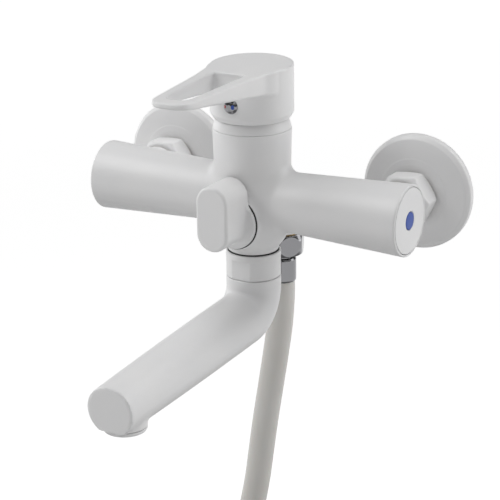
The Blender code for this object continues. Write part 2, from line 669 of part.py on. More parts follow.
def spout_path():
    """(point, direction) pairs down the neck, round the elbow and out along the arm."""
    slope = math.atan(ARM_SLOPE)
    turn = math.pi / 2 - slope
    tangent = ELBOW_RADIUS * math.tan(turn / 2)
    start = ARM_CORNER_Z + tangent
    steps = [(Vector((0, 0, z)), 0.0) for z in (SPOUT_NUT_BOTTOM_Z - GAP, start)]
    centre = Vector((0, -ELBOW_RADIUS, start))
    for i in range(1, 8):
        angle = turn * i / 7
        steps.append((centre + ELBOW_RADIUS * Vector((0, math.cos(angle), -math.sin(angle))), angle))
    corner = Vector((0, 0, ARM_CORNER_Z))
    ahead = Vector((0, -math.cos(slope), -math.sin(slope)))
    reach = (BODY_Y - ARM_END_Y) / math.cos(slope)
    for share in (0.45, 0.7, 0.9, 1.0):
        steps.append((corner + ahead * (reach * share), turn))
    return steps


def spout_ring(centre, angle, radius, sides=ROUND):
    """A circle across the path, which heads down at angle 0 and towards -Y at a right angle."""
    across = Vector((0, math.cos(angle), -math.sin(angle)))
    turns = [2 * math.pi * i / sides for i in range(sides)]
    return [centre + Vector((radius * math.cos(t), 0, 0)) + across * (radius * math.sin(t)) for t in turns]


def spout(white, plastic, rubber, steel):
    at = (0, BODY_Y, 0)
    steps = spout_path()
    last = len(steps) - 1
    arm_from = last - 4
    rings = []
    for index, (centre, angle) in enumerate(steps):
        share = max(0, index - arm_from) / (last - arm_from)
        radius = SPOUT_NECK_R + (SPOUT_TIP_R - SPOUT_NECK_R) * share**2
        if index == last:
            ahead = Vector((0, -math.sin(angle), -math.cos(angle)))
            rings.append(spout_ring(centre - ahead * 0.8, angle, radius))
            radius -= 0.7
        rings.append(spout_ring(centre, angle, radius))
    arm = skin("spout", rings, white, at)

    spigot = [(0, -45), (8.9, -45), (8.9, -40.9), (8.0, -40.9), (8.0, -38.6), (8.9, -38.6)]
    for groove in SPOUT_GROOVES:
        spigot += [(8.9, groove - 1.3), (7.6, groove - 1.3), (7.6, groove + 1.3), (8.9, groove + 1.3)]
    spigot += [(8.9, -21.7), (8.4, -21.2), (0, -21.2)]
    combine(arm, "UNION", turned("spout_spigot", spigot, white, "Z", at, MEDIUM))
    at_tip = (0, AERATOR_Y, 0)
    drill(arm, AERATOR_R + 0.4, AERATOR_BOTTOM_Z - 5, AERATOR_BOTTOM_Z + 2.3, "Z", at_tip, ROUND)
    boss = [(0, AERATOR_BOTTOM_Z + 2.3), (AERATOR_R, AERATOR_BOTTOM_Z + 2.3), (AERATOR_R, -74), (0, -74)]
    combine(arm, "UNION", turned("aerator_boss", boss, white, "Z", at_tip, ROUND))

    water = [spout_ring(centre, angle, 9.4, MEDIUM) for centre, angle in steps[1:-1]]
    combine(arm, "DIFFERENCE", skin("spout_waterway", water, white, at))
    drill(arm, 6.0, steps[1][0].z - 2, -18, "Z", at, 20)
    drill(arm, 9.7, -90, ARM_CORNER_Z - ARM_SLOPE * (BODY_Y - AERATOR_Y), "Z", at_tip)

    lower = spout_o_ring("spout_o_ring_lower", SPOUT_GROOVES[0], rubber)
    upper = spout_o_ring("spout_o_ring_upper", SPOUT_GROOVES[1], rubber)
    snap = tube("spout_snap_ring", 11.6, 8.3, -40.5, -39.0, steel, "Z", at, MEDIUM, 0.2)
    shell = [
        (8.3, AERATOR_BOTTOM_Z),
        (AERATOR_R - 0.9, AERATOR_BOTTOM_Z),
        (AERATOR_R - 0.2, AERATOR_BOTTOM_Z + 0.5),
        (AERATOR_R, AERATOR_BOTTOM_Z + 1.2),
        (AERATOR_R, AERATOR_BOTTOM_Z + 2.0),
        (9.4, AERATOR_BOTTOM_Z + 2.0),
        (9.4, -77.4),
        (8.3, -77.4),
    ]
    shell = turned("aerator_housing", shell, white, "Z", at_tip, ROUND, bored=True)
    low = AERATOR_BOTTOM_Z + 0.9
    insert = [(0, -79), (8.0, -79), (8.0, low), (0, low)]
    insert = turned("aerator_insert", insert, plastic, "Z", at_tip, MEDIUM)
    for hole in range(6):
        turn = math.radians(60 * hole)
        at_hole = (5 * math.cos(turn), AERATOR_Y + 5 * math.sin(turn), 0)
        drill(insert, 1.5, low - 1, -78, "Z", at_hole, SMALL)
    washer = tube("aerator_washer", 9.3, 6.6, -77.1, -75.5, rubber, "Z", at_tip, MEDIUM, 0.2)
    return [arm, lower, upper, snap, shell, insert, washer]


def spout_o_ring(name, height, rubber):
    section = arc((8.4, height), (0.5, 0.95), 0, 360, 6)[:-1]
    return turned(name, section, rubber, "Z", (0, BODY_Y, 0), MEDIUM, bored=True)


clear_scene()
CUTTER = material("cutter", (0.5, 0.5, 0.5), 0.5)
WHITE = material("satin_white", (0.8, 0.8, 0.8), 0.35)
CHROME = material("chrome", (0.8, 0.8, 0.82), 0.08, 1.0)
BRASS = material("brass", (0.75, 0.58, 0.3), 0.3, 1.0)
STEEL = material("steel", (0.6, 0.6, 0.62), 0.3, 1.0)
PVC = material("hose_pvc", (0.72, 0.70, 0.66), 0.4)
RUBBER = material("rubber", (0.03, 0.03, 0.03), 0.7)
CERAMIC = material("ceramic", (0.85, 0.84, 0.8), 0.2)
PLASTIC = material("grey_plastic", (0.5, 0.5, 0.52), 0.45)
BLUE = material("index_blue", (0.06, 0.1, 0.42), 0.35)
RED = material("index_red", (0.5, 0.03, 0.03), 0.35)
STRAP = material("strap", (0.06, 0.06, 0.065), 0.8)

mixer_body(WHITE)
end_cap(-1, WHITE, RED)
end_cap(1, WHITE, BLUE)
for wall_side in (-1, 1):
    wall_connection(wall_side, WHITE, BRASS, RUBBER)
cartridge(PLASTIC, CERAMIC, RUBBER, BRASS, WHITE)
diverter_bonnet(BRASS)
spout_mounting(WHITE, BRASS)
shower_outlet(BRASS, CHROME, PLASTIC, RUBBER)
hose(PVC, CHROME, RUBBER, STRAP)

turn_axis = pivot("lever_turn_axis", (0, BODY_Y, LEVER_PIVOT_Z))
swivel_axis = pivot("spout_swivel_axis", (0, BODY_Y, SPOUT_NUT_BOTTOM_Z))
diverter_axis = pivot("diverter_turn_axis", (0, DIVERTER_FACE_Y, DIVERTER_Z))
carrier_piece, pin_piece, disc_piece, stem_piece = cartridge_moving(PLASTIC, CERAMIC, STEEL, BRASS)
hang(turn_axis, [carrier_piece, pin_piece, disc_piece, stem_piece, lever(WHITE)])
hang(turn_axis, lever_fittings(STEEL, CHROME))
hang(diverter_axis, diverter_moving(WHITE, BRASS, RUBBER, STEEL))
hang(swivel_axis, spout(WHITE, PLASTIC, RUBBER, STEEL))
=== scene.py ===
"""The looks of the wall mounted bath mixer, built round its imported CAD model.

Sizes are in millimetres, in the CAD model's frame: the finished wall is Y = 0, the faucet stands out
towards -Y, and Z is up. emit turns them into metres. Smooth cast pieces are skins of a distance function,
turned pieces are profiles with rounded corners, and every material is made of nodes.
"""

import itertools
import json
import math

import bmesh
import bpy
import numpy as np
from mathutils import Matrix, Vector


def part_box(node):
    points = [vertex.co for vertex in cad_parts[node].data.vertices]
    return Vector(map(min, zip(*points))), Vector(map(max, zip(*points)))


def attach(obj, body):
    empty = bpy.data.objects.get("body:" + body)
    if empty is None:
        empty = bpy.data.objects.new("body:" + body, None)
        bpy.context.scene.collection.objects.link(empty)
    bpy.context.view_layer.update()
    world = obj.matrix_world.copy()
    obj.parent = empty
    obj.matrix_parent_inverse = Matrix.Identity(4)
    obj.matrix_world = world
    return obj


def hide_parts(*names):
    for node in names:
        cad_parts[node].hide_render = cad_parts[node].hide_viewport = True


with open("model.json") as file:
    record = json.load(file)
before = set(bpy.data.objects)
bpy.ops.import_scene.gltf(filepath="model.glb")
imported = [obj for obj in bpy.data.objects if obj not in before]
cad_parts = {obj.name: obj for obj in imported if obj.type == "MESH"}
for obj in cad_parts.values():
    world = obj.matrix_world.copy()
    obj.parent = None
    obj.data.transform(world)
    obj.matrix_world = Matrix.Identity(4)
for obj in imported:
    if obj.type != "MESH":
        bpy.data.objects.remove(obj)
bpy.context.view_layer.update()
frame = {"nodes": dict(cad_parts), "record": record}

MM = 0.001
AXES = {"X": Vector((1, 0, 0)), "Y": Vector((0, 1, 0)), "Z": Vector((0, 0, 1))}


def near(node, axis, side):
    """One face of a CAD node's box in millimetres, along axis 0, 1 or 2. side is 0 for the low one."""
    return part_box(node)[side][axis] / MM


# Places that the CAD model settles

BODY_Y = -50.0
INLET_HALF = 75.0
TUBE_HALF = near("mixer_body", 0, 1)
BARREL_TOP = near("mixer_body", 2, 1)
DIVERTER_Y = near("mixer_body", 1, 0)
DIVERTER_Z = -8.7
SHOWER_Y = -18.5

# The camera

VIEW_AZIMUTH = math.radians(30.03)
VIEW_ELEVATION = math.radians(18.78)
VIEW_ROLL = math.radians(-0.64)
VIEW_DISTANCE = 1000.0
VIEW_CENTRE = (-26.89, -42.74)  # along the view's right and up
LENS = 128.9


def add_camera():
    a, e = VIEW_AZIMUTH, VIEW_ELEVATION
    back = Vector((math.sin(a) * math.cos(e), -math.cos(a) * math.cos(e), math.sin(e)))
    right = Vector((math.cos(a), math.sin(a), 0))
    up = back.cross(right)
    target = right * VIEW_CENTRE[0] + up * VIEW_CENTRE[1]
    turned_right = right * math.cos(VIEW_ROLL) + up * math.sin(VIEW_ROLL)
    turned_up = up * math.cos(VIEW_ROLL) - right * math.sin(VIEW_ROLL)
    data = bpy.data.cameras.new("camera")
    data.lens = LENS
    data.sensor_width = 36.0
    data.clip_end = 50.0
    camera = bpy.data.objects.new("camera", data)
    turn = Matrix((turned_right, turned_up, back)).transposed().to_4x4()
    camera.matrix_world = Matrix.Translation((target + back * VIEW_DISTANCE) * MM) @ turn
    bpy.context.scene.collection.objects.link(camera)
    bpy.context.scene.camera = camera


# Materials


class Nodes:
    """A Principled material whose inputs can be driven by noise in the object's own space."""

    def __init__(self, name, colour, roughness, metallic=0.0):
        self.material = bpy.data.materials.new(name)
        self.material.use_nodes = True
        self.tree = self.material.node_tree
        self.shader = self.tree.nodes["Principled BSDF"]
        self.shader.inputs["Base Color"].default_value = (*colour, 1)
        self.shader.inputs["Roughness"].default_value = roughness
        self.shader.inputs["Metallic"].default_value = metallic
        self.place = self.add("ShaderNodeTexCoord").outputs["Object"]
        self.normal = None

    def add(self, kind, **settings):
        node = self.tree.nodes.new(kind)
        for key, value in settings.items():
            setattr(node, key, value)
        return node

    def link(self, source, target):
        self.tree.links.new(source, target)

    def noise(self, size, detail, stretch=(1, 1, 1)):
        """Noise whose grains are about size millimetres across."""
        spread = self.add("ShaderNodeMapping")
        spread.inputs["Scale"].default_value = [s / (size * MM) for s in stretch]
        self.link(self.place, spread.inputs["Vector"])
        made = self.add("ShaderNodeTexNoise")
        made.inputs["Scale"].default_value = 1.0
        made.inputs["Detail"].default_value = detail
        made.inputs["Roughness"].default_value = 0.55
        self.link(spread.outputs["Vector"], made.inputs["Vector"])
        return made.outputs["Fac"]

    def ramp(self, source, low, high):
        """Spreads the middle of a noise, 0.3 to 0.7, over low to high."""
        made = self.add("ShaderNodeMapRange")
        made.inputs["From Min"].default_value = 0.3
        made.inputs["From Max"].default_value = 0.7
        made.inputs["To Min"].default_value = low
        made.inputs["To Max"].default_value = high
        self.link(source, made.inputs["Value"])
        return made.outputs["Result"]

    def vary_roughness(self, source, low, high):
        self.link(self.ramp(source, low, high), self.shader.inputs["Roughness"])

    def vary_colour(self, source, first, second):
        made = self.add("ShaderNodeMix", data_type="RGBA")
        made.inputs[6].default_value = (*first, 1)
        made.inputs[7].default_value = (*second, 1)
        self.link(self.ramp(source, 0.0, 1.0), made.inputs[0])
        self.link(made.outputs[2], self.shader.inputs["Base Color"])

    def bump(self, source, height):
        """Adds relief of height millimetres on top of any earlier one."""
        made = self.add("ShaderNodeBump")
        made.inputs["Distance"].default_value = height * MM
        self.link(source, made.inputs["Height"])
        if self.normal is not None:
            self.link(self.normal, made.inputs["Normal"])
        self.normal = made.outputs["Normal"]
        self.link(self.normal, self.shader.inputs["Normal"])

    def wave(self, size, direction):
        """Parallel bands, size millimetres apart."""
        spread = self.add("ShaderNodeMapping")
        spread.inputs["Scale"].default_value = [1 / (size * MM)] * 3
        self.link(self.place, spread.inputs["Vector"])
        made = self.add("ShaderNodeTexWave", bands_direction=direction)
        made.inputs["Scale"].default_value = 0.3142  # a wave texture's band is pi / 10 units wide
        self.link(spread.outputs["Vector"], made.inputs["Vector"])
        return made.outputs["Fac"]


def painted():
    """Satin white paint over a casting: faint orange peel, a cloudy sheen and an almost even colour."""
    made = Nodes("satin_white", (0.76, 0.76, 0.765), 0.42)
    made.vary_colour(made.noise(24, 2), (0.755, 0.755, 0.76), (0.775, 0.772, 0.772))
    made.vary_roughness(made.noise(6, 3), 0.38, 0.46)
    made.bump(made.noise(1.6, 2), 0.012)
    made.bump(made.noise(0.22, 2), 0.004)
    made.shader.inputs["Coat Weight"].default_value = 0.12
    made.shader.inputs["Coat Roughness"].default_value = 0.3
    return made.material


def chromed():
    """Polished chrome with faint wipe marks."""
    made = Nodes("chrome", (0.26, 0.26, 0.27), 0.09, 1.0)
    made.vary_roughness(made.noise(3.0, 4, (1, 1, 0.3)), 0.07, 0.14)
    made.bump(made.noise(2.5, 2), 0.006)
    return made.material


def machined(name, light, dark, roughness):
    """A turned or milled metal with fine tool marks and a slightly uneven tone."""
    made = Nodes(name, light, roughness, 1.0)
    made.vary_colour(made.noise(3.0, 4), dark, light)
    made.vary_roughness(made.noise(1.2, 3), roughness - 0.06, roughness + 0.1)
    made.bump(made.noise(0.35, 2, (0.25, 0.25, 1)), 0.01)
    return made.material


def moulded(name, light, dark, roughness, grain=0.5, height=0.01):
    """Moulded plastic with a light spark texture."""
    made = Nodes(name, light, roughness)
    made.vary_colour(made.noise(18, 3), dark, light)
    made.vary_roughness(made.noise(4, 3), roughness - 0.04, roughness + 0.06)
    made.bump(made.noise(grain, 3), height)
    return made.material


def hose_plastic():
    """Smooth PVC over a wound core: a warm ivory grey with a soft sheen and the faintest ribs."""
    made = Nodes("hose_pvc", (0.60, 0.585, 0.555), 0.42)
    made.vary_colour(made.noise(30, 2), (0.60, 0.585, 0.553), (0.63, 0.617, 0.59))
    made.vary_roughness(made.noise(8, 3), 0.38, 0.48)
    made.bump(made.noise(2.2, 2), 0.02)
    made.shader.inputs["Subsurface Weight"].default_value = 0.06
    made.shader.inputs["Subsurface Scale"].default_value = 0.004
    made.shader.inputs["Coat Weight"].default_value = 0.15
    made.shader.inputs["Coat Roughness"].default_value = 0.35
    return made.material


def strap_fabric():
    """Black hook and loop tape: a woven ground with a fuzzy nap."""
    made = Nodes("strap", (0.03, 0.03, 0.032), 0.9)
    made.vary_colour(made.noise(0.5, 4), (0.02, 0.02, 0.022), (0.06, 0.06, 0.064))
    made.bump(made.wave(0.8, "Y"), 0.12)
    made.bump(made.noise(0.25, 4), 0.08)
    made.shader.inputs["Sheen Weight"].default_value = 0.4
    made.shader.inputs["Sheen Roughness"].default_value = 0.5
    return made.material


MATERIALS = {
    "satin_white": painted(),
    "chrome": chromed(),
    "brass": machined("brass", (0.78, 0.60, 0.32), (0.66, 0.49, 0.25), 0.28),
    "steel": machined("brushed_steel", (0.62, 0.62, 0.63), (0.52, 0.52, 0.54), 0.3),
    "hose_pvc": hose_plastic(),
    "rubber": moulded("rubber", (0.03, 0.03, 0.031), (0.018, 0.018, 0.019), 0.62, 0.4, 0.02),
    "ceramic": moulded("ceramic", (0.84, 0.83, 0.79), (0.78, 0.77, 0.73), 0.2, 0.2, 0.002),
    "grey_plastic": moulded("grey_plastic", (0.50, 0.50, 0.52), (0.44, 0.44, 0.46), 0.45),
    "index_blue": moulded("index_blue", (0.03, 0.085, 0.40), (0.022, 0.065, 0.34), 0.45, 0.6, 0.004),
    "index_red": moulded("index_red", (0.42, 0.015, 0.015), (0.34, 0.01, 0.01), 0.45, 0.6, 0.004),
    "strap": strap_fabric(),
}


def finish_cad_nodes():
    """Gives every CAD node the node material of its slot, so those that no piece replaces match too."""
    for part in frame["record"]["subparts"]:
        node = frame["nodes"][part["node"]]
        node.data.materials.clear()
        node.data.materials.append(MATERIALS[part["material_slot"]])


# Making pieces


def emit(name, form, finish, body, nodes=(), sharp=32.0):
    """One finished piece from a bmesh in millimetres."""
    bmesh.ops.remove_doubles(form, verts=form.verts, dist=1e-5)
    bmesh.ops.recalc_face_normals(form, faces=form.faces)
    bmesh.ops.scale(form, vec=(MM, MM, MM), verts=form.verts)
    mesh = bpy.data.meshes.new(name)
    form.to_mesh(mesh)
    form.free()
    mesh.shade_smooth()
    mesh.set_sharp_from_angle(angle=math.radians(sharp))
    mesh.materials.append(MATERIALS[finish])
    made = bpy.data.objects.new(name, mesh)
    bpy.context.scene.collection.objects.link(made)
    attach(made, body)
    if nodes:
        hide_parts(*nodes)
    return made


def across(axis):
    """Two directions across a main axis, in the order that keeps a right-handed set."""
    return {"X": (AXES["Y"], AXES["Z"]), "Y": (AXES["Z"], AXES["X"]), "Z": (AXES["X"], AXES["Y"])}[axis]


def circle(at, axis, radius, height, sides):
    """A ring of points round a main axis through at."""
    u, v = across(axis)
    lift = AXES[axis] * height
    turns = [2 * math.pi * i / sides for i in range(sides)]
    return [Vector(at) + u * (radius * math.cos(t)) + v * (radius * math.sin(t)) + lift for t in turns]


def skin(form, rings, closed=False):
    """Joins rings of points with quads. A ring of one point is a pole.

    closed joins the last ring to the first. Otherwise the two end rings are capped.
    """
    made = [[form.verts.new(point) for point in ring] for ring in rings]
    pairs = list(zip(made, made[1:]))
    if closed:
        pairs.append((made[-1], made[0]))
    for a, b in pairs:
        count = max(len(a), len(b))
        for i in range(count):
            j = (i + 1) % count
            if len(a) == 1:
                form.faces.new((a[0], b[i], b[j]))
            elif len(b) == 1:
                form.faces.new((a[i], b[0], a[j]))
            else:
                form.faces.new((a[i], b[i], b[j], a[j]))
    if not closed:
        for ring in (made[0], made[-1]):
            if len(ring) > 2:
                form.faces.new(ring)


def eased(profile):
    """Rounds the corners of a (radius, height, rounding) profile. A point of two numbers stays sharp."""
    steps = 4
    found = []
    count = len(profile)
    for i, corner in enumerate(profile):
        here = Vector(corner[:2])
        rounding = corner[2] if len(corner) > 2 else 0.0
        if rounding == 0.0:
            found.append(tuple(here))
            continue
        back = Vector(profile[i - 1][:2]) - here
        ahead = Vector(profile[(i + 1) % count][:2]) - here
        half = back.angle(ahead) / 2
        reach = min(rounding / math.tan(half), 0.49 * back.length, 0.49 * ahead.length)
        start = here + back.normalized() * reach
        end = here + ahead.normalized() * reach
        for k in range(steps + 1):
            t = k / steps
            found.append(tuple(start * (1 - t) ** 2 + here * (2 * t * (1 - t)) + end * t**2))
    return found


def turned(name, profile, finish, body, nodes, axis, at, sides=96, bored=False):
    """A turned piece from a profile of (radius, height, rounding) points."""
    rings = []
    for radius, height in eased(profile):
        if radius < 1e-6:
            rings.append([Vector(at) + AXES[axis] * height])
        else:
            rings.append(circle(at, axis, radius, height, sides))
    form = bmesh.new()
    skin(form, rings, closed=bored)
    return emit(name, form, finish, body, nodes)


# Distance functions: each takes an array of points in millimetres


def rounded_union(a, b, r):
    """Joins two distances with a fillet of radius r."""
    return np.maximum(r, np.minimum(a, b)) - np.hypot(np.maximum(r - a, 0), np.maximum(r - b, 0))


def rounded_cut(a, b, r):
    """Keeps what is inside both distances, with the edge rounded to radius r."""
    return np.minimum(-r, np.maximum(a, b)) + np.hypot(np.maximum(r + a, 0), np.maximum(r + b, 0))


def hexagon(x, y, flats, phase, rounding):
    """Distance across an endless hexagonal prism whose corners are rounded."""
    sides = None
    for k in range(6):
        turn = phase + math.pi * k / 3
        side = x * math.cos(turn) + y * math.sin(turn) - flats / 2
        sides = side if sides is None else rounded_cut(sides, side, rounding)
    return sides


def surface_net(distance, low, high, cell):
    """A rough skin of quads, one point for each grid cell that the surface crosses."""
    axes = [np.arange(a, b + cell, cell) for a, b in zip(low, high)]
    grid = np.stack(np.meshgrid(*axes, indexing="ij"), axis=-1)
    inside = (distance(grid.reshape(-1, 3)) < 0).reshape(grid.shape[:3])
    cells = np.array(inside.shape) - 1
    filled = np.zeros(cells, int)
    for i, j, k in itertools.product((0, 1), repeat=3):
        filled += inside[i : i + cells[0], j : j + cells[1], k : k + cells[2]]
    crossed = (filled > 0) & (filled < 8)
    index = np.full(cells, -1)
    index[crossed] = np.arange(crossed.sum())
    points = grid[:-1, :-1, :-1][crossed] + cell / 2
    faces = []
    for axis in range(3):
        u, v = np.eye(3, dtype=int)[[(axis + 1) % 3, (axis + 2) % 3]]
        ahead = np.roll(inside, -1, axis)
        changes = np.argwhere(inside != ahead)
        keep = changes[:, axis] < cells[axis]
        for other in ((axis + 1) % 3, (axis + 2) % 3):
            keep &= (changes[:, other] > 0) & (changes[:, other] < cells[other])
        changes = changes[keep]
        corners = [changes, changes - u, changes - u - v, changes - v]
        faces.append(np.stack([index[tuple(c.T)] for c in corners], axis=-1))
    return points, np.concatenate(faces)


def slope_of(distance, points):
    step = 0.03
    slopes = [distance(points + d) - distance(points - d) for d in np.eye(3) * step]
    return np.stack(slopes, axis=-1) / (2 * step)


def pull_onto(distance, points, most, rounds=6):
    """Newton's method, each step held to most millimetres."""
    for _ in range(rounds):
        slope = slope_of(distance, points)
        squared = np.maximum((slope**2).sum(1), 1e-4)
        step = slope * (distance(points) / squared)[:, None]
        length = np.maximum(np.linalg.norm(step, axis=1), 1e-9)
        points = points - step * np.minimum(1, most / length)[:, None]
    return points


def positions(form):
    return np.array([v.co for v in form.verts])


def set_positions(form, points):
    for vert, point in zip(form.verts, points):
        vert.co = point


def implicit(distance, low, high, cell, levels=0):
    """A bmesh skin of a distance function, even and on the surface. Each level halves its quads."""
    points, faces = surface_net(distance, low, high, cell)
    points = pull_onto(distance, points, cell)
    mesh = bpy.data.meshes.new("net")
    mesh.from_pydata(points, [], faces.tolist())
    form = bmesh.new()
    form.from_mesh(mesh)
    bpy.data.meshes.remove(mesh)
    for level in range(levels + 1):
        for _ in range(3):
            bmesh.ops.smooth_vert(form, verts=form.verts, factor=0.5, use_axis_x=True, use_axis_y=True,
                                  use_axis_z=True)
            set_positions(form, pull_onto(distance, positions(form), cell, 3))
        if level < levels:
            bmesh.ops.subdivide_edges(form, edges=form.edges, cuts=1, use_grid_fill=True)
            cell /= 2
            set_positions(form, pull_onto(distance, positions(form), cell, 4))
    bmesh.ops.recalc_face_normals(form, faces=form.faces)
    return form


def open_rim(form, axis, at, cut, outward, profile):
    """Cuts the skin square across a turned axis and carries its edge on along a (radius, height) profile."""
    w = AXES[axis]
    u, v = across(axis)
    at = Vector(at)
    reach = profile[0][0] + 2.5

    def place(point):
        offset = point - at
        return math.hypot(offset.dot(u), offset.dot(v)), point.dot(w)

    region = []
    for face in form.faces:
        radius, height = place(face.calc_center_median())
        if radius < reach and (height - cut) * outward > -3:
            region.append(face)
    geometry = set(region)
    for face in region:
        geometry.update(face.edges)
        geometry.update(face.verts)
    plane = at + w * (cut - at.dot(w))
    bmesh.ops.bisect_plane(form, geom=list(geometry), dist=1e-4, plane_co=plane, plane_no=w * outward,
                           clear_outer=True)
    edges = [e for e in form.edges if e.is_boundary and all(
        abs(vert.co.dot(w) - cut) < 1e-3 and place(vert.co)[0] < reach for vert in e.verts)]
    verts = {vert for edge in edges for vert in edge.verts}
    for radius, height in profile:
        if verts is None:
            extruded = bmesh.ops.extrude_edge_only(form, edges=edges)["geom"]
            edges = [item for item in extruded if isinstance(item, bmesh.types.BMEdge) and item.is_boundary]
            verts = {vert for edge in edges for vert in edge.verts}
        for vert in verts:
            offset = vert.co - at
            flat = (u * offset.dot(u) + v * offset.dot(v)).normalized() * radius
            vert.co = at + flat + w * (height - at.dot(w))
        verts = None
    bmesh.ops.edgeloop_fill(form, edges=edges)


def smooth_curve(knots, steps, closed=False):
    """Catmull-Rom points through the knots."""
    knots = [Vector(k) for k in knots]
    if closed:
        knots = [knots[-1], *knots, knots[0], knots[1]]
    else:
        knots = [2 * knots[0] - knots[1], *knots, 2 * knots[-1] - knots[-2]]
    found = []
    for a, b, c, d in zip(knots, knots[1:], knots[2:], knots[3:]):
        for i in range(steps):
            t = i / steps
            found.append(0.5 * (2 * b + (c - a) * t + (2 * a - 5 * b + 4 * c - d) * t**2
                                + (3 * b - a - 3 * c + d) * t**3))
    if not closed:
        found.append(knots[-2])
    return found


def outline_field(outline):
    """A quick signed distance to a closed outline in the XY plane, read from a grid made here."""
    spacing = 0.25
    margin = 6.0
    points = np.array([tuple(p)[:2] for p in outline])
    low = points.min(0) - margin
    high = points.max(0) + margin
    xs = np.arange(low[0], high[0], spacing)
    ys = np.arange(low[1], high[1], spacing)
    x, y = np.meshgrid(xs, ys, indexing="ij")
    best = np.full(x.shape, np.inf)
    inside = np.zeros(x.shape, bool)
    for (ax, ay), (bx, by) in zip(points, np.roll(points, -1, axis=0)):
        ex, ey = bx - ax, by - ay
        t = np.clip(((x - ax) * ex + (y - ay) * ey) / (ex * ex + ey * ey), 0, 1)
        best = np.minimum(best, np.hypot(x - ax - t * ex, y - ay - t * ey))
        if ay != by:
            inside ^= ((ay > y) != (by > y)) & (x < ex * (y - ay) / ey + ax)
    table = np.where(inside, -best, best)

    def distance(px, py):
        gx = np.clip((px - xs[0]) / spacing, 0, len(xs) - 1.001)
        gy = np.clip((py - ys[0]) / spacing, 0, len(ys) - 1.001)
        i, j = gx.astype(int), gy.astype(int)
        fx, fy = gx - i, gy - j
        return (table[i, j] * (1 - fx) * (1 - fy) + table[i + 1, j] * fx * (1 - fy)
                + table[i, j + 1] * (1 - fx) * fy + table[i + 1, j + 1] * fx * fy)

    return distance


# The hose comes first: its route as far as the coil is the CAD model's own

HOSE_D = 14.8
HOSE_ROUTE = [
    (0.0, -18.5, -57.3),
    (0.0, -18.5, -66.0),
    (-0.8, -19.2, -82.0),
    (-2.4, -21.2, -100.0),
    (-4.4, -24.0, -120.0),
    (-6.4, -26.8, -140.0),
    (-8.2, -29.2, -160.0),
    (-10.0, -31.8, -180.0),
    (-13.4, -36.0, -202.0),
    (-21.4, -41.2, -225.0),
    (-35.2, -45.2, -246.0),
]
HOSE_EXIT = Vector(HOSE_ROUTE[0])
HOSE_MERGE = (-49.0, -46.7, -263.0)  # between the last of those and the coil
HOSE_NUT_FLATS = 24.0
HOSE_NUT_LIFT = 1.6  # how far the nut behind the spout stands over the CAD model's
SLEEVE_LENGTH = 16.6
COIL_RADIUS = 86.0
COIL_CENTRE = Vector((-4.0, -31.0, -342.0))
COIL_FROM = 140.0  # degrees round the coil, from +X over the top
COIL_TO = 180.0 + 720.0
COIL_PITCH = 15.0
TAIL_Y = -16.0
TAIL_BOTTOM = -426.0


def coil_point(angle):
    middle = (COIL_FROM + COIL_TO) / 2
    turn = math.radians(angle)
    lane = COIL_PITCH * (angle - middle) / 360
    return COIL_CENTRE + Vector((COIL_RADIUS * math.cos(turn), lane, COIL_RADIUS * math.sin(turn)))


def add_hose():
    left = COIL_CENTRE.x - COIL_RADIUS
    start = HOSE_EXIT + Vector((0, 0, 6.0))  # inside the ferrule
    knots = [start, *HOSE_ROUTE, HOSE_MERGE]
    angle = COIL_FROM
    while angle < COIL_TO + 1:
        knots.append(coil_point(angle))
        angle += 20.0
    knots += [(left, TAIL_Y, z) for z in (-368.0, -396.0, TAIL_BOTTOM, TAIL_BOTTOM - 6.0)]
    path = smooth_curve(knots, 4)
    length = sum((b - a).length for a, b in zip(path, path[1:])) * MM
    curve = bpy.data.curves.new("shower_hose", "CURVE")
    curve.dimensions = "3D"
    curve.bevel_depth = HOSE_D / 2 * MM
    curve.bevel_resolution = 14
    curve.use_fill_caps = True
    curve.materials.append(MATERIALS["hose_pvc"])
    spline = curve.splines.new("POLY")
    spline.points.add(len(path) - 1)
    for target, point in zip(spline.points, path):
        target.co = (*(point * MM), 1)
    spline.use_smooth = True
    hose = bpy.data.objects.new("shower_hose", curve)
    bpy.context.scene.collection.objects.link(hose)
    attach(hose, "mixer")
    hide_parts("hose", "hose_coil", "hose_tail")
    return hose, length


def ferrule_profile(end, lip):
    """A crimped sleeve round the hose's end at 0, its flange at the far end.

    lip is +1 where the hose leaves downwards and -1 where it comes from above.
    """
    return [
        (6.9, lip * 0.3, 0.1),
        (7.95, lip * 0.3, 0.35),
        (8.15, lip * 1.4, 0.3),
        (8.15, lip * (end - 3.6), 0.5),
        (7.7, lip * (end - 2.6), 0.3),
        (6.5, lip * (end - 2.4), 0.2),
        (6.5, lip * end, 0.1),
        (4.7, lip * end, 0.1),
        (4.7, lip * 7.0, 0.1),
        (6.9, lip * 7.0, 0.1),
    ]


def hex_distance(axis_point, flats, low, high, bore, phase):
    """An upright hexagon nut, bored through. A sphere cuts it so that its facets are discs."""
    half = (high - low) / 2
    ball = math.hypot(flats / 2, half - 0.25)

    def distance(points):
        x = points[:, 0] - axis_point[0]
        y = points[:, 1] - axis_point[1]
        z = points[:, 2] - low - half
        radius = np.hypot(x, y)
        body = rounded_cut(hexagon(x, y, flats, phase, 0.3), np.hypot(radius, z) - ball, 0.35)
        body = rounded_cut(body, np.abs(z) - half, 0.35)
        return rounded_cut(body, bore - radius, 0.25)

    return distance


def hex_nut(name, node, at, bore, phase, lift, cell):
    low = near(node, 2, 0) + lift
    high = near(node, 2, 1) + lift
    distance = hex_distance(at, HOSE_NUT_FLATS, low, high, bore, phase)
    reach = HOSE_NUT_FLATS * 0.6
    corners = (at[0] - reach, at[1] - reach, low - 1), (at[0] + reach, at[1] + reach, high + 1)
    form = implicit(distance, *corners, cell, 1)
    return emit(name, form, "chrome", "mixer", (node,))


